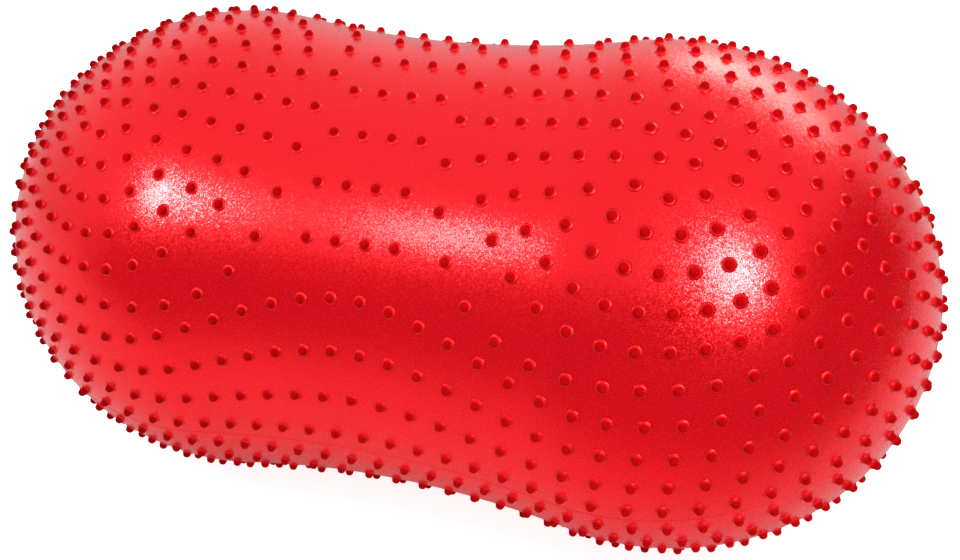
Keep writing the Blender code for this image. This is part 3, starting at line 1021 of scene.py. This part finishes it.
def floor_material(stage):
    """Pale matt floor. Where the ball mirrors it, it is dark in front and towards the dark side,
    by a smooth step of the distance each way. To the camera it glows to white, less near the
    ball, so that the ball's shadow stays. Matt surfaces see an even glow, and the ball's mirror
    a little where it isn't dark."""
    material = bpy.data.materials.new("Pale floor")
    material.use_nodes = True
    tree = material.node_tree
    tree.nodes.clear()
    link = tree.links.new
    output = add_node(tree, "ShaderNodeOutputMaterial", (900, 0))
    both = add_node(tree, "ShaderNodeAddShader", (700, 0))
    matt = add_node(tree, "ShaderNodeBsdfDiffuse", (450, 150))
    glow = add_node(tree, "ShaderNodeEmission", (450, -150))
    path = add_node(tree, "ShaderNodeLightPath", (-900, 500))
    place = add_node(tree, "ShaderNodeTexCoord", (-900, 0))
    ahead = reach_node(tree, (-700, 150), TO_DARK_FLOOR)
    bright = smooth_step(tree, (-500, 150), FLOOR_BRIGHTEST, 0.0, DARK_FLOOR_AHEAD)
    aside = reach_node(tree, (-700, 350), TO_DARK_SIDE)
    clear = smooth_step(tree, (-500, 400), 1.0, 0.0, DARK_FLOOR_ASIDE)
    light = math_node(tree, (-350, 300), "MULTIPLY")
    dim = add_node(tree, "ShaderNodeMix", (-250, 300), {2: 1.0})
    pale = {0: stage.floor_colour}
    colour = add_node(tree, "ShaderNodeVectorMath", (0, 300), pale, operation="SCALE")
    away = add_node(tree, "ShaderNodeVectorMath", (-700, -150), operation="LENGTH")
    share = smooth_step(tree, (-500, -150), *SHOWN_GLOW, SHADOW_RANGE)
    seen = math_node(tree, (-250, -150), "MULTIPLY")
    mirrored = math_node(tree, (-250, 50), "MULTIPLY")
    first = math_node(tree, (0, 0), "MULTIPLY_ADD", {1: MIRRORED_GLOW})
    second = math_node(tree, (200, 0), "MULTIPLY_ADD", {1: MATT_GLOW})
    link(place.outputs["Object"], ahead.inputs[0])
    link(ahead.outputs["Value"], bright.inputs["Value"])
    link(place.outputs["Object"], aside.inputs[0])
    link(aside.outputs["Value"], clear.inputs["Value"])
    link(bright.outputs["Result"], light.inputs[0])
    link(clear.outputs["Result"], light.inputs[1])
    link(path.outputs["Is Glossy Ray"], dim.inputs[0])
    link(light.outputs["Value"], dim.inputs[3])
    link(dim.outputs[0], colour.inputs["Scale"])
    link(colour.outputs["Vector"], matt.inputs["Color"])
    link(place.outputs["Object"], away.inputs[0])
    link(away.outputs["Value"], share.inputs["Value"])
    link(share.outputs["Result"], seen.inputs[0])
    link(path.outputs["Is Camera Ray"], seen.inputs[1])
    link(light.outputs["Value"], mirrored.inputs[0])
    link(path.outputs["Is Glossy Ray"], mirrored.inputs[1])
    link(mirrored.outputs["Value"], first.inputs[0])
    link(seen.outputs["Value"], first.inputs[2])
    link(path.outputs["Is Diffuse Ray"], second.inputs[0])
    link(first.outputs["Value"], second.inputs[2])
    link(second.outputs["Value"], glow.inputs["Strength"])
    link(matt.outputs["BSDF"], both.inputs[0])
    link(glow.outputs["Emission"], both.inputs[1])
    link(both.outputs["Shader"], output.inputs["Surface"])
    return material


def surroundings(stage):
    """White to the camera. For matt surfaces it is even light, weaker from the dark side. Where
    the ball mirrors it, it is white above, dimmer down to the horizon, and dark on that side.
    The dark side is a product of two smooth steps: towards it, and below its upper edge."""
    world = bpy.data.worlds.new("White studio")
    bpy.context.scene.world = world
    world.use_nodes = True
    tree = world.node_tree
    tree.nodes.clear()
    link = tree.links.new
    mirrored, matt = stage.mirrored_light, stage.matt_light
    white = {"Color": (1.0, 1.0, 1.0, 1.0), "Strength": 1.0}
    output = add_node(tree, "ShaderNodeOutputWorld", (800, 0))
    shown = add_node(tree, "ShaderNodeBackground", (200, 200), white)
    lit = add_node(tree, "ShaderNodeBackground", (200, -100))
    pick = add_node(tree, "ShaderNodeMixShader", (500, 0))
    path = add_node(tree, "ShaderNodeLightPath", (200, 500))
    place = add_node(tree, "ShaderNodeTexCoord", (-700, -100))
    facing = reach_node(tree, (-450, -100), TO_DARK_SIDE)
    front = smooth_step(tree, (-200, -100), 0.0, 1.0, DARK_SIDE_EDGE)
    height = reach_node(tree, (-450, -350), DARK_EDGE_UP)
    low = smooth_step(tree, (-200, -350), 1.0, 0.0, DARK_TOP_EDGE)
    dark = math_node(tree, (0, -200), "MULTIPLY")
    strength = add_node(tree, "ShaderNodeMix", (150, -300))
    even = range_node(tree, (0, -550), matt, DARK_SIDE_MATT_SHARE * matt)
    share = range_node(tree, (0, -400), mirrored, 0.0)
    rise = add_node(tree, "ShaderNodeSeparateXYZ", (-450, -600))
    sky = smooth_step(tree, (-200, -600), HORIZON_SHARE * mirrored, mirrored, SKY_RANGE)
    link(place.outputs["Generated"], facing.inputs[0])
    link(place.outputs["Generated"], height.inputs[0])
    link(place.outputs["Generated"], rise.inputs[0])
    link(facing.outputs["Value"], front.inputs["Value"])
    link(height.outputs["Value"], low.inputs["Value"])
    link(front.outputs["Result"], dark.inputs[0])
    link(low.outputs["Result"], dark.inputs[1])
    link(rise.outputs["Z"], sky.inputs["Value"])
    link(sky.outputs["Result"], share.inputs["To Min"])
    link(dark.outputs["Value"], share.inputs["Value"])
    link(dark.outputs["Value"], even.inputs["Value"])
    link(share.outputs["Result"], strength.inputs[2])
    link(even.outputs["Result"], strength.inputs[3])
    link(path.outputs["Is Diffuse Ray"], strength.inputs[0])
    link(strength.outputs[0], lit.inputs["Strength"])
    link(path.outputs["Is Camera Ray"], pick.inputs["Fac"])
    link(lit.outputs["Background"], pick.inputs[1])
    link(shown.outputs["Background"], pick.inputs[2])
    link(pick.outputs["Shader"], output.inputs["Surface"])


class PEANUTBALL_OT_stage(Operator):
    """Makes the pale floor, the softboxes, the white surroundings and the camera"""

    bl_idname = "peanut_ball.stage"
    bl_label = "Stage"

    def execute(self, context):
        sizes, _, stage = settings()
        half = stage.floor_size / 2
        corners = np.array([(-half, -half, 0), (half, -half, 0), (half, half, 0), (-half, half, 0)])
        floor = mesh_piece("floor", corners, [[0, 1, 2, 3]], floor_material(stage))
        powers = (stage.left_lobe_box, stage.waist_box, stage.right_box, stage.rear_box)
        for name, power in zip(SOFTBOXES, powers):
            softbox(name, power, sizes.axis_height)
        surroundings(stage)
        lens = bpy.data.cameras.new("Camera")
        lens.lens = LENS_LENGTH
        lens.sensor_width = SENSOR_WIDTH
        camera = bpy.data.objects.new("Camera", lens)
        x, y, z = CAMERA_PLACE
        camera.location = (x, y, z + sizes.axis_height)
        camera.rotation_euler = (math.radians(90 - CAMERA_DOWN), 0.0, math.radians(CAMERA_TURN))
        context.scene.collection.objects.link(camera)
        context.scene.camera = camera
        context.scene.view_settings.view_transform = "Standard"
        return {"FINISHED"}


class PEANUTBALL_PT_panel(Panel):
    """Lists the ball's pieces and its sizes"""

    bl_idname = "PEANUTBALL_PT_panel"
    bl_label = "Peanut ball"
    bl_space_type = "VIEW_3D"
    bl_region_type = "UI"
    bl_category = "Peanut ball"

    def draw(self, context):
        for step in STEPS:
            self.layout.operator(step.bl_idname)
        for group in settings():
            box = self.layout.box()
            for name in group.__annotations__:
                box.prop(group, name)


STEPS = (PEANUTBALL_OT_skin, PEANUTBALL_OT_insert, PEANUTBALL_OT_plug, PEANUTBALL_OT_stage)
CLASSES = (PeanutBallSizes, PeanutBallFinish, PeanutBallStage, *STEPS, PEANUTBALL_PT_panel)


def register():
    for made in CLASSES:
        bpy.utils.register_class(made)
    bpy.types.Scene.peanut_ball_sizes = PointerProperty(type=PeanutBallSizes)
    bpy.types.Scene.peanut_ball_finish = PointerProperty(type=PeanutBallFinish)
    bpy.types.Scene.peanut_ball_stage = PointerProperty(type=PeanutBallStage)


def unregister():
    del bpy.types.Scene.peanut_ball_stage
    del bpy.types.Scene.peanut_ball_finish
    del bpy.types.Scene.peanut_ball_sizes
    for made in reversed(CLASSES):
        bpy.utils.unregister_class(made)


def main():
    register()
    bpy.ops.peanut_ball.skin()
    bpy.ops.peanut_ball.insert()
    bpy.ops.peanut_ball.plug()
    bpy.ops.peanut_ball.stage()


if __name__ == "__main__":
    main()
